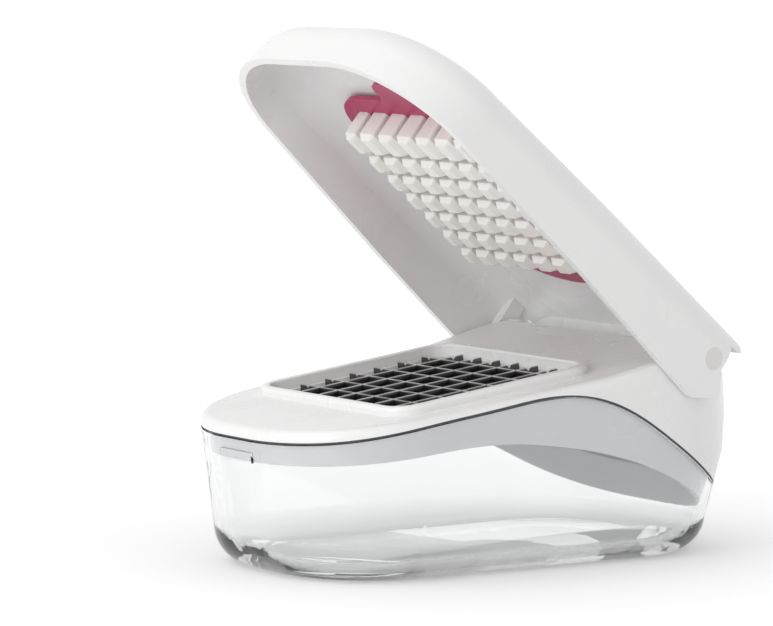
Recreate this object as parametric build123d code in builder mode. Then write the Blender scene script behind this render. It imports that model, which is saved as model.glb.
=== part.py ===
from build123d import *
from math import cos, radians, sin, tan
import os

# Press-lid vegetable cutter: clear tub, white head with a steel blade grid,
# and a lever lid whose square pins push the food through the blades.
# Frame: origin at the centre of the tub's base, +X to the hinge, +Z up.
# The lid is drawn open, as it stands for loading. Millimetres.

# Tub
BASE_LENGTH = 166.0
BASE_WIDTH = 88.4
BASE_CORNER = 36.0
DRAFT_ANGLE = 8.0
REAR_DRAFT_ANGLE = 14.0
PLAN_TAPER = 0.03
TUB_WALL = 2.4
TUB_FLOOR = 4.0
TUB_BOTTOM_ROUND = 12.0
LUG_WIDTH = 17.0
LUG_HEIGHT = 3.4
LUG_PROUD = 0.9
LUG_BELOW_RIM = 3.9

# Seam between tub and head, as heights over the tub's length
SEAM_FRONT = (-100.0, 43.0)
SEAM_NOSE = (-79.0, 44.6)
SEAM_RISE = (-52.0, 49.7)
SEAM_MIDDLE = (-24.2, 53.9)
SEAM_CREST = (1.0, 56.8)
SEAM_SLOPE_TOP = (21.4, 53.4)
SEAM_SLOPE_MIDDLE = (50.8, 37.6)
SEAM_SLOPE_FOOT = (69.0, 26.6)
SEAM_REAR = (112.0, 17.0)
SEAL_THICKNESS = 0.6
SEAL_RECESS = 0.35
SEAL_WIDTH = 1.6
RIM_GAP = 0.3

# Skirt of the head, inside the tub
SKIRT_CLEARANCE = 0.4
SKIRT_WALL = 1.8
SKIRT_BAND = 3.0
SKIRT_FRONT = (-100.0, 36.0)
SKIRT_RISE = (-54.0, 39.8)
SKIRT_CREST = (-21.0, 42.4)
SKIRT_MIDDLE = (8.0, 39.6)
SKIRT_SLOPE = (47.0, 28.9)
SKIRT_FOOT = (66.0, 19.4)
SKIRT_REAR = (112.0, 7.5)

# Head
HEAD_WALL = 2.4
REAR_BELT_LOW = 34.0
REAR_BELT_HIGH = 46.0
HEAD_TOP_LEVEL = 76.0
HEAD_SIDE_SPARE = 0.9
REAR_LEAN = 3.7
DECK_ROUND = 3.0
DECK_END = 37.0
DECK_BEND_ROUND = 60.0
HUMP_TOP_ABOVE_AXIS = 4.6
HUMP_TOP_ROUND = 8.0
SHELF_BEHIND_AXIS = 12.0
SHELF_BELOW_AXIS = 4.8
SHELF_SLOPE = 2.9
SHELF_ROUND = 4.0
HINGE_RECESS_DEPTH = 3.5
RECESS_WALL = 1.8

# Blade grid, on a plane that rises towards the hinge
GRID_X = -14.5
GRID_Z = 57.9
GRID_TILT = 7.86
PITCH = 10.0
STRIPS = 6
WELL_SHIFT = -1.5
EDGE_CELL = 12.6
BLADE_THICKNESS = 0.4
BLADE_HEIGHT = 7.0
BLADE_EDGE = 0.12
BLADE_PLAY = 0.06
BLADE_SEAT = 0.9
BLADE_TAB_DROP = 3.0
BEVEL_HEIGHT = 1.2
NOTCH_FROM_END = 4.0
NOTCH_WIDTH = 2.4
NOTCH_DEPTH = 1.5
DECK_BELOW_BLADES = 0.5
LIP_ABOVE_BLADES = 2.3
LIP_WIDTH = 3.2
LIP_ROUND = 1.4
LIP_INNER_ROUND = 0.7
WELL_CORNER = 7.0
WELL_WALL = 1.8
CASSETTE_CLEARANCE = 0.3
CASSETTE_BAR = 1.6
CASSETTE_BELOW_BLADES = 1.4
RETAINER_THICKNESS = 1.4
LEDGE_WIDTH = 1.6
LEDGE_THICKNESS = 1.6

# Hinge, placed from the grid's middle
HINGE_FROM_GRID = 74.4
HINGE_BELOW_BLADES = 1.66
OPEN_ANGLE = 46.7
PIN_RADIUS = 2.0
PIN_HEAD_RADIUS = 3.7
PIN_HEAD_THICKNESS = 1.2
PIN_LENGTH = 11.5
PIN_END_PLAY = 0.4
PIN_SEAT_FIT = 0.02
PIN_RUNNING_FIT = 0.06
BUSH_WALL = 1.0
BUSH_LENGTH = 4.4
BOSS_WALL = 1.4

# Lid, its sizes along its own plane from the hinge axis
LID_FRONT = 161.5
LID_FRONT_LEAN = 6.4
LID_REAR = 10.6
LID_KINK = 60.0
LID_KINK_ROUND = 120.0
LID_TAPER = 0.045
LID_WALL = 2.6
LID_SIDE_CLEARANCE = 0.4
LID_TOP_THICKNESS = 2.0
LID_BELOW_BLADES = 16.9
LID_RIM_RISE = 8.4
LID_FRONT_CORNER = 38.5
LID_TOP_ROUND = 13.0
HEEL_THICKNESS = 3.0
HEEL_LEVEL = 8.6
HEEL_ROUND = 2.2
EAR_BEHIND_AXIS = 5.0
EAR_CORNER = 0.5
EAR_REAR = (10.6, -8.0)
EAR_HEEL = -1.0
EAR_ROUND = 3.0
KNUCKLE_RADIUS = 6.0
KNUCKLE_CLEARANCE = 0.4
RECESS_RADIUS = 8.2

# Pusher and cleaning plate
PIN_GAP = 2.4
PIN_EDGE_PLAY = 0.8
PIN_SIDE_PLAY = 3.8
TIP_BELOW_BLADES = 2.3
TIP_HEIGHT = 1.8
TIP_TAPER = 38.0
PIN_CORNER = 1.0
PUSHER_BASE = 1.4
PUSHER_MARGIN = 1.5
PLATE_ABOVE_BLADES = 8.0
PLATE_THICKNESS = 1.5
PLATE_PLAY = 0.1
PLATE_HOLE_PLAY = 0.3
PLATE_HALF_WIDTH = 41.5
PLATE_FRONT = 43.5
PLATE_REAR = 53.0
PLATE_CORNER = 16.0
PLATE_TAB_TIP = 52.3
PLATE_TAB_HALF = 10.5
PLATE_TAB_ROUND = 5.0
PLATE_TAB_BLEND = 2.0

# Values worked out from those above
DRAFT = tan(radians(DRAFT_ANGLE))
REAR_DRAFT = tan(radians(REAR_DRAFT_ANGLE))
HALF_LENGTH = BASE_LENGTH / 2
HALF_WIDTH = BASE_WIDTH / 2
FAR = 300.0
LAST_STRIP = PITCH * (STRIPS - 1) / 2
WELL_HALF = LAST_STRIP + EDGE_CELL
CASSETTE_HALF = WELL_HALF - CASSETTE_CLEARANCE
CASSETTE_OPEN = CASSETTE_HALF - CASSETTE_BAR
CASSETTE_FOOT = BLADE_HEIGHT + RETAINER_THICKNESS
LEDGE_TOP = CASSETTE_FOOT + CASSETTE_CLEARANCE
CREST_HALF_WIDTH = HALF_WIDTH + DRAFT * SEAM_CREST[1]
HEAD_SIDE = CREST_HALF_WIDTH + HEAD_SIDE_SPARE
NECK_HALF = HEAD_SIDE - HINGE_RECESS_DEPTH
LID_INNER_HALF = HEAD_SIDE + LID_SIDE_CLEARANCE
LID_HALF = LID_INNER_HALF + LID_WALL
BUSH_RADIUS = PIN_RADIUS + PIN_RUNNING_FIT + BUSH_WALL
BOSS_RADIUS = BUSH_RADIUS + BOSS_WALL


def grid_point(x, z):
    """A point of the tilted grid plane's frame, in the object's frame."""
    tilt = radians(GRID_TILT)
    return (GRID_X + x * cos(tilt) - z * sin(tilt), GRID_Z + x * sin(tilt) + z * cos(tilt))


HINGE_X, HINGE_Z = grid_point(HINGE_FROM_GRID, -HINGE_BELOW_BLADES)
GRID_PLANE = Plane(
    origin=(GRID_X, 0, GRID_Z),
    x_dir=(cos(radians(GRID_TILT)), 0, sin(radians(GRID_TILT))),
    z_dir=(-sin(radians(GRID_TILT)), 0, cos(radians(GRID_TILT))),
)
LID_SLOPE = radians(OPEN_ANGLE - GRID_TILT)
LID_PLANE = Plane(
    origin=(HINGE_X, 0, HINGE_Z),
    x_dir=(cos(LID_SLOPE), 0, -sin(LID_SLOPE)),
    z_dir=(sin(LID_SLOPE), 0, cos(LID_SLOPE)),
)
LID_SIDE_PLANE = Plane(origin=(HINGE_X, 0, HINGE_Z), x_dir=LID_PLANE.x_dir, z_dir=(0, -1, 0))
HINGE_PLANE = Plane(origin=(HINGE_X, 0, HINGE_Z), x_dir=(1, 0, 0), z_dir=(0, -1, 0))

# Lid levels above the hinge axis, along the lid's normal
LID_FOOT = HINGE_BELOW_BLADES - LID_BELOW_BLADES
TIP_LEVEL = HINGE_BELOW_BLADES - TIP_BELOW_BLADES
PLATE_FACE = HINGE_BELOW_BLADES + PLATE_ABOVE_BLADES
PUSHER_FACE = PLATE_FACE + PLATE_THICKNESS + PLATE_PLAY
CEILING = PUSHER_FACE + PUSHER_BASE
LID_TOP = CEILING + LID_TOP_THICKNESS

SEAM = [
    SEAM_FRONT, SEAM_NOSE, SEAM_RISE, SEAM_MIDDLE, SEAM_CREST, SEAM_SLOPE_TOP,
    SEAM_SLOPE_MIDDLE, SEAM_SLOPE_FOOT, SEAM_REAR,
]
SKIRT = [
    SKIRT_FRONT, SKIRT_RISE, SKIRT_CREST, SKIRT_MIDDLE,
    SKIRT_SLOPE, SKIRT_FOOT, SKIRT_REAR,
]


def strip_places():
    """Where the blade strips stand, measured from the grid's middle."""
    return [i * PITCH - LAST_STRIP for i in range(STRIPS)]


def pin_rows(shift, edge_play):
    """Centre and width of each row of pins, one row per cell."""
    inner = [(i * PITCH - LAST_STRIP + PITCH / 2, PITCH - PIN_GAP) for i in range(STRIPS - 1)]
    near = LAST_STRIP + PIN_GAP / 2
    rows = []
    for side in (-1, 1):
        far = CASSETTE_OPEN + side * shift - edge_play
        rows.append((side * (near + far) / 2, far - near))
    return [rows[0]] + inner + [rows[1]]


def region(points, rise, level):
    """Everything between a wave and a level, right across the object."""
    line = [(x, z + rise) for x, z in points]
    with BuildPart() as block:
        with BuildSketch(Plane.XZ):
            with BuildLine():
                edge = Spline(*line)
                Polyline(edge @ 1, (line[-1][0], level), (line[0][0], level), edge @ 0)
            make_face()
        extrude(amount=FAR / 2, both=True)
    return block.part


def tub_section(level, inset, rear_back=0.0):
    """One level of the drafted tub form: an oval, a little narrower at the front."""
    grow = DRAFT * level - inset
    front = -HALF_LENGTH - grow
    rear = HALF_LENGTH + REAR_DRAFT * level - inset - rear_back
    front_half = HALF_WIDTH + grow + PLAN_TAPER * front
    rear_half = HALF_WIDTH + grow + PLAN_TAPER * rear
    with BuildSketch(Plane.XY.offset(level)) as section:
        with BuildLine():
            FilletPolyline(
                (rear, -rear_half), (front, -front_half), (front, front_half), (rear, rear_half),
                radius=BASE_CORNER + grow, close=True,
            )
        make_face()
    return section.sketch


def tub_form(inset, low=0.0, high=HEAD_TOP_LEVEL):
    """The drafted form from one level to another."""
    with BuildPart() as form:
        loft([tub_section(low, inset), tub_section(high, inset)], ruled=True)
    return form.part


def head_form(inset):
    """The tub form carried upwards, with its rear leaning forwards."""
    belt = REAR_DRAFT * (REAR_BELT_HIGH - REAR_BELT_LOW)
    lean = REAR_LEAN + REAR_DRAFT * (HEAD_TOP_LEVEL - REAR_BELT_LOW)
    sections = [
        tub_section(0, inset),
        tub_section(REAR_BELT_LOW, inset),
        tub_section(REAR_BELT_HIGH, inset, belt),
        tub_section(HEAD_TOP_LEVEL, inset, lean),
    ]
    with BuildPart() as form:
        loft(sections, ruled=True)
    return form.part


def above_head(drop):
    """Everything over the head: its deck, the hump at the hinge and the rear shelf."""
    nose = grid_point(-2 * HINGE_FROM_GRID, -DECK_BELOW_BLADES - drop)
    foot = grid_point(DECK_END, -DECK_BELOW_BLADES - drop)
    crest = (HINGE_X, HINGE_Z + HUMP_TOP_ABOVE_AXIS - drop)
    shelf = (HINGE_X + SHELF_BEHIND_AXIS - drop, HINGE_Z - SHELF_BELOW_AXIS - drop)
    back = (shelf[0] + FAR, shelf[1] - FAR * tan(radians(SHELF_SLOPE)))
    rounds = ((foot, DECK_BEND_ROUND), (crest, HUMP_TOP_ROUND - drop), (shelf, SHELF_ROUND + drop))
    with BuildPart() as block:
        with BuildSketch(Plane.XZ) as profile:
            with BuildLine():
                Polyline(nose, foot, crest, shelf, back, (back[0], FAR), (nose[0], FAR), close=True)
            make_face()
            for corner, radius in rounds:
                spot = Vector(corner[0], corner[1], 0)
                fillet(profile.vertices().sort_by_distance(spot)[0], radius)
        extrude(amount=FAR / 2, both=True)
    return block.part


def ring_of_tub(outer_inset, inner_inset):
    """The wall between two insets of the drafted form."""
    with BuildPart() as ring:
        add(tub_form(outer_inset))
        add(tub_form(inner_inset), mode=Mode.SUBTRACT)
    return ring.part


def hinge_rod(radius, near, far):
    """A rod along the hinge axis on both sides, from one half-width to another."""
    with BuildPart() as rods:
        with BuildSketch(HINGE_PLANE.offset(near)):
            Circle(radius)
        extrude(amount=far - near)
        mirror(about=Plane.XZ)
    return rods.part


def lid_section(level, inset, rear):
    """One level of the lid in plan: open rear, tapered sides, leaning front."""
    share = (level - LID_FOOT) / (LID_TOP - LID_FOOT)
    front = -LID_FRONT + LID_FRONT_LEAN * share + inset
    half = LID_HALF - inset
    front_half = half + LID_TAPER * (front + LID_KINK)
    corner = LID_FRONT_CORNER - inset
    with BuildSketch(LID_PLANE.offset(level)) as section:
        with BuildLine():
            FilletPolyline(
                (rear, -half), (-LID_KINK, -half), (front, -front_half),
                (front, front_half), (-LID_KINK, half), (rear, half),
                radius=[LID_KINK_ROUND, corner, corner, LID_KINK_ROUND],
            )
            Line((rear, half), (rear, -half))
        make_face()
    return section.sketch


def lid_form(inset, top, rear, round_radius):
    """The lid's block from below its ears to a level, rounded along its top."""
    low = LID_FOOT - LID_WALL
    with BuildPart() as form:
        loft([lid_section(low, inset, rear), lid_section(top, inset, rear)], ruled=True)
        upper = form.faces().sort_by(Axis(LID_PLANE.origin, LID_PLANE.z_dir))[-1]
        rim = upper.edges().sort_by(Axis(LID_PLANE.origin, LID_PLANE.x_dir))[:-1]
        fillet(rim, round_radius)
    return form.part


def strip(plane, slots_from_top, shift):
    """One blade strip: bevelled edge, seated tabs, end notches, half-lap slots."""
    tab = CASSETTE_OPEN + BLADE_SEAT
    half_lap = BLADE_HEIGHT / 2
    slot = BLADE_THICKNESS + 2 * BLADE_PLAY
    side_plane = Plane(origin=plane.origin, x_dir=plane.x_dir, z_dir=-plane.y_dir)
    end_plane = Plane(origin=plane.origin, x_dir=plane.y_dir, z_dir=plane.x_dir)
    with BuildPart() as blade:
        with BuildSketch(end_plane):
            with BuildLine():
                Polyline(
                    (-BLADE_THICKNESS / 2, -BLADE_HEIGHT), (BLADE_THICKNESS / 2, -BLADE_HEIGHT),
                    (BLADE_THICKNESS / 2, -BEVEL_HEIGHT), (BLADE_EDGE / 2, 0),
                    (-BLADE_EDGE / 2, 0), (-BLADE_THICKNESS / 2, -BEVEL_HEIGHT),
                    close=True,
                )
            make_face()
        extrude(amount=2 * tab, both=True)
        with BuildSketch(side_plane):
            with Locations((shift, -BLADE_HEIGHT / 2)):
                Rectangle(2 * CASSETTE_OPEN, BLADE_HEIGHT)
            with Locations((shift, -(BLADE_HEIGHT + BLADE_TAB_DROP) / 2)):
                Rectangle(2 * tab, BLADE_HEIGHT - BLADE_TAB_DROP)
            for side in (-1, 1):
                notch = shift + side * (CASSETTE_OPEN - NOTCH_FROM_END)
                with BuildLine(mode=Mode.PRIVATE) as vee:
                    Polyline(
                        (notch - NOTCH_WIDTH / 2, 0), (notch, -NOTCH_DEPTH),
                        (notch + NOTCH_WIDTH / 2, 0), close=True,
                    )
                make_face(vee.edges(), mode=Mode.SUBTRACT)
            for place in strip_places():
                level = -half_lap / 2 if slots_from_top else -BLADE_HEIGHT + half_lap / 2
                with Locations((place, level)):
                    Rectangle(slot, half_lap + 2 * BLADE_PLAY, mode=Mode.SUBTRACT)
        extrude(amount=BLADE_THICKNESS, both=True, mode=Mode.INTERSECT)
    return blade.part


def well_block(half_side, corner, low, high):
    """A rounded square block in the grid's frame, centred on the well."""
    with BuildPart() as block:
        with BuildSketch(GRID_PLANE.offset(low)):
            with Locations((WELL_SHIFT, 0)):
                RectangleRounded(2 * half_side, 2 * half_side, corner)
        extrude(amount=high - low)
    return block.part


# Container: a drafted tub, its rim cut along the seam's wave
with BuildPart() as container:
    add(tub_form(0))
    fillet(container.edges().group_by(Axis.Z)[0], TUB_BOTTOM_ROUND)
    with BuildPart(mode=Mode.PRIVATE) as tub_hollow:
        add(tub_form(TUB_WALL, low=TUB_FLOOR))
        fillet(tub_hollow.edges().group_by(Axis.Z)[0], TUB_BOTTOM_ROUND - TUB_WALL)
    with BuildPart(mode=Mode.PRIVATE) as lugs:
        add(tub_form(-LUG_PROUD))
        add(region(SEAM, -LUG_BELOW_RIM, FAR), mode=Mode.SUBTRACT)
        add(region(SEAM, -LUG_BELOW_RIM - LUG_HEIGHT, -FAR), mode=Mode.SUBTRACT)
        Box(FAR, LUG_WIDTH, FAR, mode=Mode.INTERSECT)
    add(lugs.part)
    add(tub_hollow.part, mode=Mode.SUBTRACT)
    add(region(SEAM, -SEAL_THICKNESS / 2 - RIM_GAP, FAR), mode=Mode.SUBTRACT)

# Head: the tub's form carried up to the deck, with the well for the blades
with BuildPart() as head_outer:
    add(head_form(0))
    add(above_head(0), mode=Mode.SUBTRACT)
    top_faces = head_outer.faces().filter_by(lambda face: face.normal_at().Z > 0.5)
    shared = [edge for face in top_faces for edge in face.edges()]
    fillet([edge for edge in shared if shared.count(edge) == 1], DECK_ROUND)
    Box(FAR, 2 * HEAD_SIDE, FAR, mode=Mode.INTERSECT)

with BuildPart() as head_hollow:
    add(head_form(HEAD_WALL))
    add(above_head(HEAD_WALL), mode=Mode.SUBTRACT)
    Box(FAR, 2 * (HEAD_SIDE - HEAD_WALL), FAR, mode=Mode.INTERSECT)

# Cups that the lid's knuckles turn in, one each side of the hump
with BuildPart() as hinge_cups:
    add(hinge_rod(RECESS_RADIUS + RECESS_WALL, NECK_HALF - RECESS_WALL, HEAD_SIDE))
    add(head_outer.part, mode=Mode.INTERSECT)

WELL_FOOT = -LEDGE_TOP - LEDGE_THICKNESS
with BuildPart() as head_shell:
    add(head_outer.part)
    add(head_hollow.part, mode=Mode.SUBTRACT)
    add(region(SEAM, SEAL_THICKNESS / 2, -FAR), mode=Mode.SUBTRACT)
    add(well_block(WELL_HALF + WELL_WALL, WELL_CORNER + WELL_WALL, WELL_FOOT, -DECK_BELOW_BLADES))
    with BuildPart(mode=Mode.PRIVATE) as lip:
        lip_half = WELL_HALF + LIP_WIDTH
        lip_foot = -DECK_BELOW_BLADES - HEAD_WALL / 2
        add(well_block(lip_half, WELL_CORNER + LIP_WIDTH, lip_foot, LIP_ABOVE_BLADES))
        add(well_block(WELL_HALF, WELL_CORNER, lip_foot, LIP_ABOVE_BLADES), mode=Mode.SUBTRACT)
        upwards = Axis(GRID_PLANE.origin, GRID_PLANE.z_dir)
        fillet(lip.faces().sort_by(upwards)[-1].outer_wire().edges(), LIP_ROUND)
        fillet(lip.faces().sort_by(upwards)[-1].inner_wires()[0].edges(), LIP_INNER_ROUND)
    add(lip.part)
    add(hinge_cups.part)
    add(hinge_rod(BOSS_RADIUS, LID_HALF - PIN_LENGTH - BOSS_WALL, NECK_HALF))
    add(well_block(WELL_HALF, WELL_CORNER, -LEDGE_TOP, FAR / 10), mode=Mode.SUBTRACT)
    ledge_half = WELL_HALF - LEDGE_WIDTH
    add(well_block(ledge_half, WELL_CORNER - LEDGE_WIDTH, -FAR / 10, 0), mode=Mode.SUBTRACT)
    add(hinge_rod(RECESS_RADIUS, NECK_HALF, LID_HALF), mode=Mode.SUBTRACT)
    add(hinge_rod(BUSH_RADIUS, NECK_HALF - BUSH_LENGTH, LID_HALF), mode=Mode.SUBTRACT)
    add(
        hinge_rod(PIN_RADIUS + PIN_RUNNING_FIT, LID_HALF - PIN_LENGTH - PIN_END_PLAY, LID_HALF),
        mode=Mode.SUBTRACT,
    )

# Skirt: hangs from the head's inner wall and reaches down inside the tub
with BuildPart() as head_skirt:
    outer = TUB_WALL + SKIRT_CLEARANCE
    add(ring_of_tub(outer, outer + SKIRT_WALL))
    add(region(SEAM, SEAL_THICKNESS / 2, FAR), mode=Mode.SUBTRACT)
    with BuildPart(mode=Mode.PRIVATE) as band:
        add(ring_of_tub(HEAD_WALL, outer + SKIRT_WALL))
        add(region(SEAM, SEAL_THICKNESS / 2 + SKIRT_BAND, FAR), mode=Mode.SUBTRACT)
        add(region(SEAM, SEAL_THICKNESS / 2, -FAR), mode=Mode.SUBTRACT)
        add(head_hollow.part, mode=Mode.INTERSECT)
    add(band.part)
    add(region(SKIRT, 0, -FAR), mode=Mode.SUBTRACT)

# Seal: the dark line under the head's edge
with BuildPart() as rim_seal:
    add(ring_of_tub(SEAL_RECESS, SEAL_RECESS + SEAL_WIDTH))
    add(region(SEAM, SEAL_THICKNESS / 2, FAR), mode=Mode.SUBTRACT)
    add(region(SEAM, -SEAL_THICKNESS / 2, -FAR), mode=Mode.SUBTRACT)

# Blade cassette: frame, retainer and twelve strips
with BuildPart() as cassette_frame:
    frame_corner = WELL_CORNER - CASSETTE_CLEARANCE
    hole_corner = frame_corner - CASSETTE_BAR
    add(well_block(CASSETTE_HALF, frame_corner, -BLADE_HEIGHT, -CASSETTE_BELOW_BLADES))
    add(well_block(CASSETTE_OPEN, hole_corner, -BLADE_HEIGHT, 0), mode=Mode.SUBTRACT)
    with BuildSketch(GRID_PLANE.offset(-BLADE_HEIGHT)):
        reach = 2 * (CASSETTE_OPEN + BLADE_SEAT + BLADE_PLAY)
        for place in strip_places():
            with Locations((WELL_SHIFT, place)):
                Rectangle(reach, BLADE_THICKNESS + 2 * BLADE_PLAY)
            with Locations((place, 0)):
                Rectangle(BLADE_THICKNESS + 2 * BLADE_PLAY, reach)
    extrude(amount=BLADE_HEIGHT - BLADE_TAB_DROP + BLADE_PLAY, mode=Mode.SUBTRACT)

with BuildPart() as cassette_retainer:
    add(well_block(CASSETTE_HALF, frame_corner, -CASSETTE_FOOT, -BLADE_HEIGHT))
    add(well_block(CASSETTE_OPEN, hole_corner, -CASSETTE_FOOT, 0), mode=Mode.SUBTRACT)

GRID_ACROSS = Plane(
    origin=GRID_PLANE.origin, x_dir=GRID_PLANE.y_dir, z_dir=GRID_PLANE.z_dir
)
blades = {}
for i, place in enumerate(strip_places()):
    long_origin = GRID_PLANE.from_local_coords(Vector(0, place, 0))
    cross_origin = GRID_PLANE.from_local_coords(Vector(place, 0, 0))
    long_plane = Plane(origin=long_origin, x_dir=GRID_PLANE.x_dir, z_dir=GRID_PLANE.z_dir)
    cross_plane = Plane(origin=cross_origin, x_dir=GRID_PLANE.y_dir, z_dir=GRID_PLANE.z_dir)
    blades[f"blade_long_{i + 1}"] = strip(long_plane, False, WELL_SHIFT)
    blades[f"blade_cross_{i + 1}"] = strip(cross_plane, True, 0)

# Lid: a hollow lever with rounded front, ears at the hinge and a heel behind it
with BuildPart() as lid_shell:
    add(lid_form(0, LID_TOP, LID_REAR, LID_TOP_ROUND))
    add(
        lid_form(LID_WALL, CEILING, LID_REAR - HEEL_THICKNESS, LID_TOP_ROUND - LID_WALL),
        mode=Mode.SUBTRACT,
    )
    with BuildPart(mode=Mode.PRIVATE) as knuckles:
        add(hinge_rod(KNUCKLE_RADIUS, NECK_HALF + KNUCKLE_CLEARANCE, LID_HALF))
        web_length = LID_HALF - NECK_HALF - KNUCKLE_CLEARANCE
        web_height = (CEILING + LID_TOP) / 2
        with BuildSketch(LID_SIDE_PLANE.offset(NECK_HALF + KNUCKLE_CLEARANCE)):
            with Locations((-KNUCKLE_RADIUS / 2, web_height / 2)):
                Rectangle(KNUCKLE_RADIUS, web_height)
        extrude(amount=web_length)
        mirror(about=Plane.XZ)
        add(lid_form(0, LID_TOP, LID_REAR, LID_TOP_ROUND), mode=Mode.INTERSECT)
    add(knuckles.part)
    with BuildSketch(LID_SIDE_PLANE) as side_profile:
        ear_foot = (EAR_CORNER, LID_FOOT)
        heel_foot = (LID_REAR, HEEL_LEVEL)
        heel_top = (LID_REAR, LID_TOP)
        with BuildLine():
            Polyline(
                (-LID_FRONT, LID_FOOT + LID_RIM_RISE), ear_foot, EAR_REAR,
                (EAR_BEHIND_AXIS, EAR_HEEL), (EAR_BEHIND_AXIS, HEEL_LEVEL), heel_foot,
                heel_top, (-LID_FRONT, LID_TOP), close=True,
            )
        make_face()
        for corner, radius in (
            (ear_foot, EAR_ROUND), (EAR_REAR, EAR_ROUND), (heel_foot, HEEL_ROUND), (heel_top, HEEL_ROUND),
        ):
            spot = Vector(corner[0], corner[1], 0)
            fillet(side_profile.vertices().sort_by_distance(spot)[0], radius)
    extrude(amount=FAR, both=True, mode=Mode.INTERSECT)
    with BuildSketch(LID_SIDE_PLANE):
        with Locations((LID_REAR, HEEL_LEVEL - FAR / 2)):
            Rectangle(2 * HEEL_THICKNESS, FAR)
    extrude(amount=LID_INNER_HALF, both=True, mode=Mode.SUBTRACT)
    add(hinge_rod(PIN_RADIUS + PIN_SEAT_FIT, NECK_HALF, LID_HALF), mode=Mode.SUBTRACT)
    add(
        hinge_rod(PIN_HEAD_RADIUS + PIN_SEAT_FIT, LID_HALF - PIN_HEAD_THICKNESS, LID_HALF + 1),
        mode=Mode.SUBTRACT,
    )

# Pusher: a base plate with one pin for each cell
GRID_ON_LID = -HINGE_FROM_GRID
with BuildPart() as pusher:
    across = pin_rows(0, PIN_SIDE_PLAY)
    along = pin_rows(WELL_SHIFT, PIN_EDGE_PLAY)
    first, last = along[0], along[-1]
    low_x = first[0] - first[1] / 2 - PUSHER_MARGIN
    high_x = last[0] + last[1] / 2 + PUSHER_MARGIN
    half_y = across[-1][0] + across[-1][1] / 2 + PUSHER_MARGIN
    with BuildSketch(LID_PLANE.offset(PUSHER_FACE)):
        with Locations((GRID_ON_LID + (low_x + high_x) / 2, 0)):
            RectangleRounded(high_x - low_x, 2 * half_y, WELL_CORNER)
    extrude(amount=PUSHER_BASE)
    with BuildSketch(LID_PLANE.offset(TIP_LEVEL + TIP_HEIGHT)) as feet:
        for x, length in along:
            for y, width in across:
                with Locations((GRID_ON_LID + x, y)):
                    RectangleRounded(length, width, PIN_CORNER)
        open_side = 2 * (CASSETTE_OPEN - PIN_EDGE_PLAY)
        with Locations((GRID_ON_LID + WELL_SHIFT, 0)):
            RectangleRounded(open_side, open_side, hole_corner, mode=Mode.INTERSECT)
    extrude(amount=PUSHER_FACE - TIP_LEVEL - TIP_HEIGHT)
    extrude(feet.sketch, amount=-TIP_HEIGHT, taper=TIP_TAPER)

# Cleaning plate: rounded, with a tab to press, threaded on the pins
with BuildPart() as cleaning_plate:
    with BuildSketch(LID_PLANE.offset(PLATE_FACE)) as plate_outline:
        with BuildLine():
            FilletPolyline(
                (GRID_ON_LID + PLATE_CORNER, PLATE_HALF_WIDTH),
                (GRID_ON_LID - PLATE_FRONT, PLATE_HALF_WIDTH),
                (GRID_ON_LID - PLATE_FRONT, -PLATE_HALF_WIDTH),
                (GRID_ON_LID + PLATE_CORNER, -PLATE_HALF_WIDTH),
                radius=PLATE_CORNER,
            )
            ThreePointArc(
                (GRID_ON_LID + PLATE_CORNER, -PLATE_HALF_WIDTH),
                (GRID_ON_LID + PLATE_REAR, 0),
                (GRID_ON_LID + PLATE_CORNER, PLATE_HALF_WIDTH),
            )
        make_face()
        with Locations((GRID_ON_LID - PLATE_TAB_TIP / 2, 0)):
            RectangleRounded(PLATE_TAB_TIP, 2 * PLATE_TAB_HALF, PLATE_TAB_ROUND)
        for side in (-1, 1):
            spot = Vector(GRID_ON_LID - PLATE_FRONT, side * PLATE_TAB_HALF, 0)
            fillet(plate_outline.vertices().sort_by_distance(spot)[0], PLATE_TAB_BLEND)
        for x, length in along:
            for y, width in across:
                with Locations((GRID_ON_LID + x, y)):
                    RectangleRounded(
                        length + 2 * PLATE_HOLE_PLAY, width + 2 * PLATE_HOLE_PLAY,
                        PIN_CORNER + PLATE_HOLE_PLAY, mode=Mode.SUBTRACT,
                    )
    extrude(amount=PLATE_THICKNESS)

# Hinge pins and bushes, left (-Y) and right (+Y)
hinge_parts = {}
for side, name in ((1, "left"), (-1, "right")):
    with BuildPart() as hinge_pin:
        with BuildSketch(HINGE_PLANE.offset(side * LID_HALF)):
            Circle(PIN_HEAD_RADIUS)
        extrude(amount=-side * PIN_HEAD_THICKNESS)
        with BuildSketch(HINGE_PLANE.offset(side * LID_HALF)):
            Circle(PIN_RADIUS)
        extrude(amount=-side * PIN_LENGTH)
    hinge_parts[f"hinge_pin_{name}"] = hinge_pin.part
    with BuildPart() as hinge_bush:
        with BuildSketch(HINGE_PLANE.offset(side * NECK_HALF)):
            Circle(BUSH_RADIUS)
            Circle(PIN_RADIUS + PIN_RUNNING_FIT, mode=Mode.SUBTRACT)
        extrude(amount=-side * BUSH_LENGTH)
    hinge_parts[f"hinge_bush_{name}"] = hinge_bush.part

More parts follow.
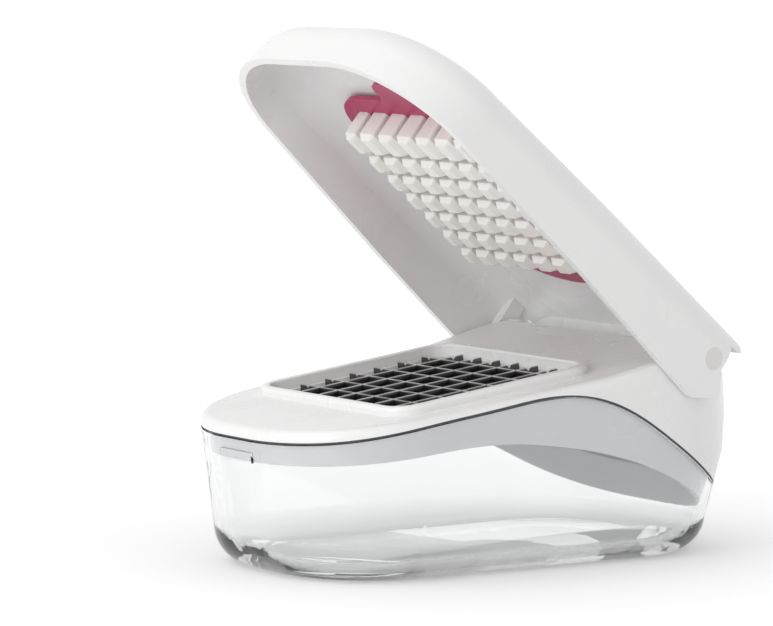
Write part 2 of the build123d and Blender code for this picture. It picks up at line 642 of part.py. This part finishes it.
os.makedirs("parts", exist_ok=True)
container.part.label = "container"
export_step(container.part, "parts/container.step")
head_shell.part.label = "head_shell"
export_step(head_shell.part, "parts/head_shell.step")
head_skirt.part.label = "head_skirt"
export_step(head_skirt.part, "parts/head_skirt.step")
rim_seal.part.label = "rim_seal"
export_step(rim_seal.part, "parts/rim_seal.step")
cassette_frame.part.label = "cassette_frame"
export_step(cassette_frame.part, "parts/cassette_frame.step")
cassette_retainer.part.label = "cassette_retainer"
export_step(cassette_retainer.part, "parts/cassette_retainer.step")
lid_shell.part.label = "lid_shell"
export_step(lid_shell.part, "parts/lid_shell.step")
pusher.part.label = "pusher"
export_step(pusher.part, "parts/pusher.step")
cleaning_plate.part.label = "cleaning_plate"
export_step(cleaning_plate.part, "parts/cleaning_plate.step")

# The twelve blades and the two sets of hinge pins and bushes
for name, piece in (blades | hinge_parts).items():
    piece.label = name
    export_step(piece, f"parts/{name}.step")
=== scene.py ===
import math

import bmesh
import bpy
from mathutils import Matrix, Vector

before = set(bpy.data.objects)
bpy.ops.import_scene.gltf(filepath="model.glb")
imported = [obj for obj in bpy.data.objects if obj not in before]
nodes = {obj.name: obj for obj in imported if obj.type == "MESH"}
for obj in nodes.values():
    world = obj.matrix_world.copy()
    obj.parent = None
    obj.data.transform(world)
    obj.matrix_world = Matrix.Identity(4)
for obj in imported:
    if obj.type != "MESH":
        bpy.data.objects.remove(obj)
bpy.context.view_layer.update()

# %% [markdown]
# A press-lid vegetable cutter stands on a pale table with its lid open. The clear tub
# catches the food, the white head carries a steel blade grid, and the lid's square pins
# push the food through. Its pieces could be modelled here by hand, but the engineering
# model has them all already, each in its real size and place. So this script loads
# that model first, and then gives it its finishes, a table and light.

MM = 0.001
print("nodes", len(nodes))

# %% [markdown]
# The camera stands a metre and a quarter away with a long lens, low over the table and to
# the left of the cutter's front. A long lens keeps the two long sides nearly parallel. A
# Track To constraint could aim it, but that holds the horizon level, and this view is
# turned by a degree. So it is built from two angles and a roll, which can be measured in
# a picture, and the matrix follows from them.

# %% Place the camera
CAMERA_PLACE = Vector((-746.8, -961.2, 185.9)) * MM
CAMERA_AZIMUTH = math.radians(-36.665)
CAMERA_ELEVATION = math.radians(5.038)
CAMERA_ROLL = math.radians(1.0)
FOCAL_PIXELS = 3749.5
IMAGE_WIDTH = 773
SENSOR_WIDTH = 36
# In metres, beyond the table's farthest corner.
CAMERA_REACH = 20

back = Vector((
    math.sin(CAMERA_AZIMUTH) * math.cos(CAMERA_ELEVATION),
    -math.cos(CAMERA_AZIMUTH) * math.cos(CAMERA_ELEVATION),
    math.sin(CAMERA_ELEVATION),
))
level_right = Vector((math.cos(CAMERA_AZIMUTH), math.sin(CAMERA_AZIMUTH), 0))
level_up = back.cross(level_right)
right = level_right * math.cos(CAMERA_ROLL) + level_up * math.sin(CAMERA_ROLL)
up = back.cross(right)
camera_turn = Matrix((right, up, back)).transposed().to_4x4()

camera_data = bpy.data.cameras.new("camera")
camera_data.sensor_width = SENSOR_WIDTH
camera_data.lens = FOCAL_PIXELS / IMAGE_WIDTH * SENSOR_WIDTH
camera_data.clip_end = CAMERA_REACH
camera = bpy.data.objects.new("camera", camera_data)
camera.matrix_world = Matrix.Translation(CAMERA_PLACE) @ camera_turn
bpy.context.scene.collection.objects.link(camera)
bpy.context.scene.camera = camera
print("lens", round(camera_data.lens, 1), "mm")

# %% [markdown]
# Every finish is a small node tree. Colours are written as the hex values that an eye
# reads off a screen, so one function turns them linear, and another adds a node with its
# settings and links in one line. Patterns are measured in millimetres: a texture's scale
# is how many features fit in one metre.

# %% Helpers for materials
# The Mix node keeps a socket of each name for every kind of data, so its factor and its
# colours are picked by number.
MIX_FACTOR, MIX_FIRST, MIX_SECOND, MIX_COLOUR = 0, 6, 7, 2


def linear(hex_colour):
    """An sRGB hex colour as linear RGBA, by the curve of the sRGB standard."""
    channels = [int(hex_colour[i:i + 2], 16) / 255 for i in (1, 3, 5)]
    return [c / 12.92 if c < 0.04045 else ((c + 0.055) / 1.055) ** 2.4 for c in channels] + [1]


def add_node(tree, kind, settings=None, links=None):
    """Adds a node, sets its properties or inputs, and links inputs to other outputs."""
    node = tree.nodes.new(kind)
    for key, value in (settings or {}).items():
        if isinstance(key, int) or key in node.inputs:
            node.inputs[key].default_value = value
        else:
            setattr(node, key, value)
    for key, source in (links or {}).items():
        tree.links.new(source, node.inputs[key])
    return node


def every_mm(spacing):
    """The scale of a texture whose features are about this many millimetres apart."""
    return 1 / (spacing * MM)


def new_material(name):
    """A node material with nothing in its tree yet, and that tree."""
    material = bpy.data.materials.new(name)
    material.use_nodes = True
    material.node_tree.nodes.clear()
    return material, material.node_tree


print("middle grey #808080 is", round(linear("#808080")[0], 3), "in linear light")

# %% [markdown]
# The lid, the head and the pins are injection-moulded ABS in a warm white, from a
# polished mould. ABS has an IOR near 1.54. A real moulding is never quite even: the wall
# sinks a little, so reflections waver over about 12 mm, and handling leaves the gloss
# patchy on a scale of a few centimetres. That could be painted into an image, but noise
# in Object coordinates needs no unwrapping and stays sharp from close by. Both are faint.

# %% Moulded white ABS
ABS_IOR = 1.54
SINK_SPACING = 12
SINK_DEPTH = 0.02 * MM
SINK_STRENGTH = 0.1
WEAR_SPACING = 30
# Most values of a noise texture lie between these two.
NOISE_LOW, NOISE_HIGH = 0.3, 0.7
# The gloss runs from polished to dulled, as shares of the plastic's roughness.
POLISHED, DULLED = 0.8, 1.25


def moulded_plastic(name, colour, deeper, roughness, ior=ABS_IOR):
    """Moulded plastic with a slight waver in its reflections and an uneven gloss."""
    material, tree = new_material(name)
    place = add_node(tree, "ShaderNodeTexCoord").outputs["Object"]
    sink = add_node(
        tree, "ShaderNodeTexNoise",
        {"Scale": every_mm(SINK_SPACING), "Detail": 1.5}, {"Vector": place},
    )
    wear = add_node(
        tree, "ShaderNodeTexNoise",
        {"Scale": every_mm(WEAR_SPACING), "Detail": 3}, {"Vector": place},
    )
    gloss = add_node(
        tree, "ShaderNodeMapRange",
        {
            "From Min": NOISE_LOW, "From Max": NOISE_HIGH,
            "To Min": roughness * POLISHED, "To Max": roughness * DULLED,
        },
        {"Value": wear.outputs["Fac"]},
    )
    tint = add_node(
        tree, "ShaderNodeMix",
        {"data_type": "RGBA", MIX_FIRST: linear(colour), MIX_SECOND: linear(deeper)},
        {MIX_FACTOR: wear.outputs["Fac"]},
    )
    bump = add_node(
        tree, "ShaderNodeBump",
        {"Strength": SINK_STRENGTH, "Distance": SINK_DEPTH}, {"Height": sink.outputs["Fac"]},
    )
    surface = add_node(
        tree, "ShaderNodeBsdfPrincipled", {"IOR": ior},
        {
            "Base Color": tint.outputs[MIX_COLOUR], "Roughness": gloss.outputs[0],
            "Normal": bump.outputs[0],
        },
    )
    add_node(tree, "ShaderNodeOutputMaterial", links={"Surface": surface.outputs[0]})
    return material


white_abs = moulded_plastic("white_moulded_abs", "#EFEFEE", "#EAEAEA", roughness=0.26)
warm_abs = moulded_plastic("warm_white_moulded_abs", "#F1EEEB", "#ECE9E5", roughness=0.3)
print("made", white_abs.name, warm_abs.name)

# %% [markdown]
# The cleaning plate is the same kind of moulding in crimson. The hinge's pins and bushes
# are acetal, which is milky and a little waxy, so the pins' heads show as faint discs.
# The skirt inside the tub is painted a purer white than the rest, as painted light: the
# clear tub keeps much of the lamps' light off it, and the whiter colour makes up for that
# shade. Each could have a node tree of its own, but they differ only in colour and gloss,
# so the one function makes them all.

# %% Crimson ABS, acetal and the skirt
ACETAL_IOR = 1.48
crimson_abs = moulded_plastic("crimson_moulded_abs", "#B0225A", "#A61C52", roughness=0.32)
natural_acetal = moulded_plastic(
    "natural_acetal", "#E2E1DD", "#DAD9D4", roughness=0.45, ior=ACETAL_IOR,
)
# The skirt's purer white is painted light, making up for the shade inside the clear tub.
skirt_painted_light_abs = moulded_plastic("skirt_brightened_painted_light_abs", "#FAF9FC", "#F5F4F7", roughness=0.3)
print("made", crimson_abs.name, natural_acetal.name, skirt_painted_light_abs.name)

# %% [markdown]
# The tub is injection-moulded clear acrylic, with an IOR of 1.49. A transparent shader
# would be quicker to render, but it wouldn't bend what is seen through the wall, so this
# one refracts. It is nearly colourless, and flow marks from the mould, some 18 mm apart,
# let its reflections waver slightly.

# %% Clear acrylic
ACRYLIC_IOR = 1.49
FLOW_SPACING = 18
FLOW_DEPTH = 0.02 * MM

clear_acrylic, tree = new_material("clear_moulded_acrylic")
place = add_node(tree, "ShaderNodeTexCoord").outputs["Object"]
flow = add_node(
    tree, "ShaderNodeTexNoise",
    {"Scale": every_mm(FLOW_SPACING), "Detail": 1}, {"Vector": place},
)
bump = add_node(
    tree, "ShaderNodeBump",
    {"Strength": 0.05, "Distance": FLOW_DEPTH}, {"Height": flow.outputs["Fac"]},
)
surface = add_node(
    tree, "ShaderNodeBsdfPrincipled",
    {
        "Base Color": linear("#FCFDFD"), "Roughness": 0.02, "IOR": ACRYLIC_IOR,
        "Transmission Weight": 1.0,
    },
    {"Normal": bump.outputs[0]},
)
add_node(tree, "ShaderNodeOutputMaterial", links={"Surface": surface.outputs[0]})
print("made", clear_acrylic.name)

# %% [markdown]
# The strips are stainless steel, rolled and then ground along their edge. Rolling leaves
# fine scratches along the strip. Real ones are too fine to show, so they are drawn half a
# millimetre apart. The top edge is painted nearly white: a painted highlight, where the
# edge catches the light from above. It could have a material of its own on its faces, but
# the engineering mesh is left alone, so the height above the grid's sloping plane, taken
# with a dot product, blends the rolled colour into the painted highlight in the last half
# millimetre.

# %% Ground stainless steel
GRID_TILT = math.radians(7.86)
GRID_NORMAL = (-math.sin(GRID_TILT), 0, math.cos(GRID_TILT))
GRID_POINT = Vector((-14.5, 0, 57.9))
GRID_LEVEL = GRID_POINT.dot(Vector(GRID_NORMAL)) * MM
# The top half millimetre of each strip is painted lighter, as a painted highlight.
HIGHLIGHT_DEPTH = 0.5 * MM
HIGHLIGHT_FULL_DEPTH = HIGHLIGHT_DEPTH / 3
SCRATCH_SPACING = 0.5
SCRATCH_DEPTH = 0.01 * MM
# Along the strip the noise is drawn out to a scratch 25 times as long as it is wide.
DRAWN_OUT = {"X": (0.04, 1, 1), "Y": (1, 0.04, 1)}


def ground_steel(name, along):
    """Stainless strip with scratches along one axis, X or Y, and a painted highlight on its
    top edge.
    """
    material, tree = new_material(name)
    place = add_node(tree, "ShaderNodeTexCoord").outputs["Object"]
    lined = add_node(tree, "ShaderNodeMapping", {"Scale": DRAWN_OUT[along]}, {"Vector": place})
    scratch = add_node(
        tree, "ShaderNodeTexNoise",
        {"Scale": every_mm(SCRATCH_SPACING), "Detail": 4}, {"Vector": lined.outputs[0]},
    )
    gloss = add_node(
        tree, "ShaderNodeMapRange",
        {"To Min": 0.22, "To Max": 0.45}, {"Value": scratch.outputs["Fac"]},
    )
    tint = add_node(
        tree, "ShaderNodeMix",
        {"data_type": "RGBA", MIX_FIRST: linear("#6A6A6B"), MIX_SECOND: linear("#555557")},
        {MIX_FACTOR: scratch.outputs["Fac"]},
    )
    height = add_node(
        tree, "ShaderNodeVectorMath", {"operation": "DOT_PRODUCT", 1: GRID_NORMAL}, {0: place},
    )
    highlight_mask = add_node(
        tree, "ShaderNodeMapRange",
        {"From Min": GRID_LEVEL - HIGHLIGHT_DEPTH, "From Max": GRID_LEVEL - HIGHLIGHT_FULL_DEPTH},
        {"Value": height.outputs["Value"]},
    )
    # This mix lays the painted highlight over the strip's top edge.
    highlighted_tint = add_node(
        tree, "ShaderNodeMix", {"data_type": "RGBA", MIX_SECOND: linear("#E4E4E2")},
        {MIX_FACTOR: highlight_mask.outputs[0], MIX_FIRST: tint.outputs[MIX_COLOUR]},
    )
    bump = add_node(
        tree, "ShaderNodeBump",
        {"Strength": 0.15, "Distance": SCRATCH_DEPTH}, {"Height": scratch.outputs["Fac"]},
    )
    surface = add_node(
        tree, "ShaderNodeBsdfPrincipled", {"Metallic": 1.0},
        {
            "Base Color": highlighted_tint.outputs[MIX_COLOUR], "Roughness": gloss.outputs[0],
            "Normal": bump.outputs[0],
        },
    )
    add_node(tree, "ShaderNodeOutputMaterial", links={"Surface": surface.outputs[0]})
    return material


long_steel = ground_steel("ground_steel_long", "X")
cross_steel = ground_steel("ground_steel_cross", "Y")
print("made", long_steel.name, cross_steel.name)

# %% [markdown]
# The seal is a thin line of thermoplastic rubber, matt and slightly grainy. Its dark grey
# is painted shade, standing in for the shadow in the narrow gap between the head and the
# tub's rim. A plain dark colour would nearly do for so thin a line, but a fine bump breaks
# up its highlight from close by. The real grain is finer, so it is drawn 0.4 mm apart to show.

# %% Dark rubber as painted seam shade
RUBBER_IOR = 1.5
GRAIN_SPACING = 0.4
GRAIN_DEPTH = 0.02 * MM

seam_shade_rubber, tree = new_material("seal_rubber_painted_shade")
place = add_node(tree, "ShaderNodeTexCoord").outputs["Object"]
grain = add_node(
    tree, "ShaderNodeTexNoise",
    {"Scale": every_mm(GRAIN_SPACING), "Detail": 2}, {"Vector": place},
)
bump = add_node(
    tree, "ShaderNodeBump",
    {"Strength": 0.3, "Distance": GRAIN_DEPTH}, {"Height": grain.outputs["Fac"]},
)
# The dark grey stands in for the shade in the seam: painted shade.
surface = add_node(
    tree, "ShaderNodeBsdfPrincipled",
    {"Base Color": linear("#4A4B4E"), "Roughness": 0.6, "IOR": RUBBER_IOR},
    {"Normal": bump.outputs[0]},
)
add_node(tree, "ShaderNodeOutputMaterial", links={"Surface": surface.outputs[0]})
print("made", seam_shade_rubber.name)

# %% [markdown]
# Every engineering piece has the right shape already, so it keeps its mesh and only gets
# its finish. The pieces could be dressed one at a time, but those of one kind have names
# that start alike, so one table of beginnings covers them all.

# %% Finish the carried-over pieces
FINISHES = {
    "container": clear_acrylic, "head_shell": white_abs, "head_skirt": skirt_painted_light_abs,
    "rim_seal": seam_shade_rubber, "cassette": white_abs, "lid_shell": white_abs,
    "pusher": warm_abs, "cleaning_plate": crimson_abs, "blade_long": long_steel,
    "blade_cross": cross_steel, "hinge": natural_acetal,
}
for beginning, material in FINISHES.items():
    alike = [name for name in nodes if name.startswith(beginning)]
    for name in alike:
        nodes[name].data.materials.clear()
        nodes[name].data.materials.append(material)
    print(material.name, "on", ", ".join(alike))

# %% [markdown]
# The table is a plain pale sheet, wide enough that its edge is never seen. A studio would
# use a sheet that curves up behind the cutter, but that suits one side only, and the
# cutter is looked at from all of them. A flat grid of one face is enough here.

# %% Table
TABLE_HALF = 4.0

table_mesh = bmesh.new()
bmesh.ops.create_grid(table_mesh, x_segments=1, y_segments=1, size=TABLE_HALF)
table_data = bpy.data.meshes.new("table")
table_mesh.to_mesh(table_data)
table_mesh.free()
table = bpy.data.objects.new("table", table_data)
bpy.context.scene.collection.objects.link(table)
print("table", 2 * TABLE_HALF, "m wide")

# %% [markdown]
# The table has to be nearly white to the eye, but stronger lamps would clip the white
# plastic. So it adds a little glow of its own, only for the rays that show a background,
# and more of it farther out. There it meets the white world without a horizon, and near
# the tub the soft shadow still shows.

# %% Pale table finish
WHITE = linear("#FFFFFF")
NEAR, FAR = 150 * MM, 900 * MM
NEAR_GLOW, FAR_GLOW = 0.2, 0.45


def seen_rays(tree):
    """One for rays that show the background: straight, mirrored or through clear plastic."""
    ray = add_node(tree, "ShaderNodeLightPath")
    straight = add_node(
        tree, "ShaderNodeMath", {"operation": "MAXIMUM"},
        {0: ray.outputs["Is Camera Ray"], 1: ray.outputs["Is Glossy Ray"]},
    )
    return add_node(
        tree, "ShaderNodeMath", {"operation": "MAXIMUM"},
        {0: straight.outputs[0], 1: ray.outputs["Is Transmission Ray"]},
    )


pale_table, tree = new_material("pale_table")
spot = add_node(tree, "ShaderNodeTexCoord").outputs["Object"]
distance = add_node(tree, "ShaderNodeVectorMath", {"operation": "LENGTH"}, {0: spot})
spread = add_node(
    tree, "ShaderNodeMapRange",
    {"From Min": NEAR, "From Max": FAR, "To Min": NEAR_GLOW, "To Max": FAR_GLOW},
    {"Value": distance.outputs["Value"]},
)
seen = seen_rays(tree)
glow_strength = add_node(
    tree, "ShaderNodeMath", {"operation": "MULTIPLY"},
    {0: seen.outputs[0], 1: spread.outputs[0]},
)
glow = add_node(
    tree, "ShaderNodeEmission", {"Color": WHITE}, {"Strength": glow_strength.outputs[0]},
)
matt = add_node(tree, "ShaderNodeBsdfDiffuse", {"Color": linear("#F7F7F7")})
surface = add_node(
    tree, "ShaderNodeAddShader", links={0: matt.outputs[0], 1: glow.outputs[0]},
)
add_node(tree, "ShaderNodeOutputMaterial", links={"Surface": surface.outputs[0]})
table_data.materials.append(pale_table)
print("made", pale_table.name)

# %% [markdown]
# The world is a soft studio. A ring of large lamps could fill the shadows, but a plain
# white world does it from all sides at once. It is white to the camera and in
# reflections, and gentler as a light, so that the white plastic doesn't clip.

# %% World
WORLD_LIGHT = 0.74
WORLD_SEEN = 1.0

world = bpy.data.worlds.new("studio")
bpy.context.scene.world = world
world.use_nodes = True
tree = world.node_tree
tree.nodes.clear()
seen = seen_rays(tree)
light = add_node(tree, "ShaderNodeBackground", {"Color": WHITE, "Strength": WORLD_LIGHT})
sight = add_node(tree, "ShaderNodeBackground", {"Color": WHITE, "Strength": WORLD_SEEN})
either = add_node(
    tree, "ShaderNodeMixShader",
    links={0: seen.outputs[0], 1: light.outputs[0], 2: sight.outputs[0]},
)
add_node(tree, "ShaderNodeOutputWorld", links={"Surface": either.outputs[0]})
print("made the world", world.name)

# %% [markdown]
# Two large soft lamps: a key above and to the left that lights the lid's top and rim and
# leaves a soft shadow under the tub, and a low one in front of the tub's nose that
# reaches the pins under the open lid. The near side is left to the world, a shade darker.
# Point lamps would be simpler, but their shadows have hard edges.

# %% Lamps
def soft_lamp(name, place, width, power):
    """A square area lamp that faces the middle of the cutter."""
    data = bpy.data.lights.new(name, "AREA")
    data.size = width
    data.energy = power
    lamp = bpy.data.objects.new(name, data)
    aim = (CUTTER_MIDDLE - Vector(place)).to_track_quat("-Z", "Y")
    lamp.matrix_world = Matrix.Translation(place) @ aim.to_matrix().to_4x4()
    bpy.context.scene.collection.objects.link(lamp)


CUTTER_MIDDLE = Vector((0, 0, 0.07))
soft_lamp("key", place=(-1.2, 0.2, 1.6), width=1.2, power=6)
soft_lamp("nose", place=(-1.5, -0.4, 0.25), width=1.0, power=9)
bpy.context.scene.view_settings.view_transform = "Standard"
print("lamps", [lamp.name for lamp in bpy.data.lights])
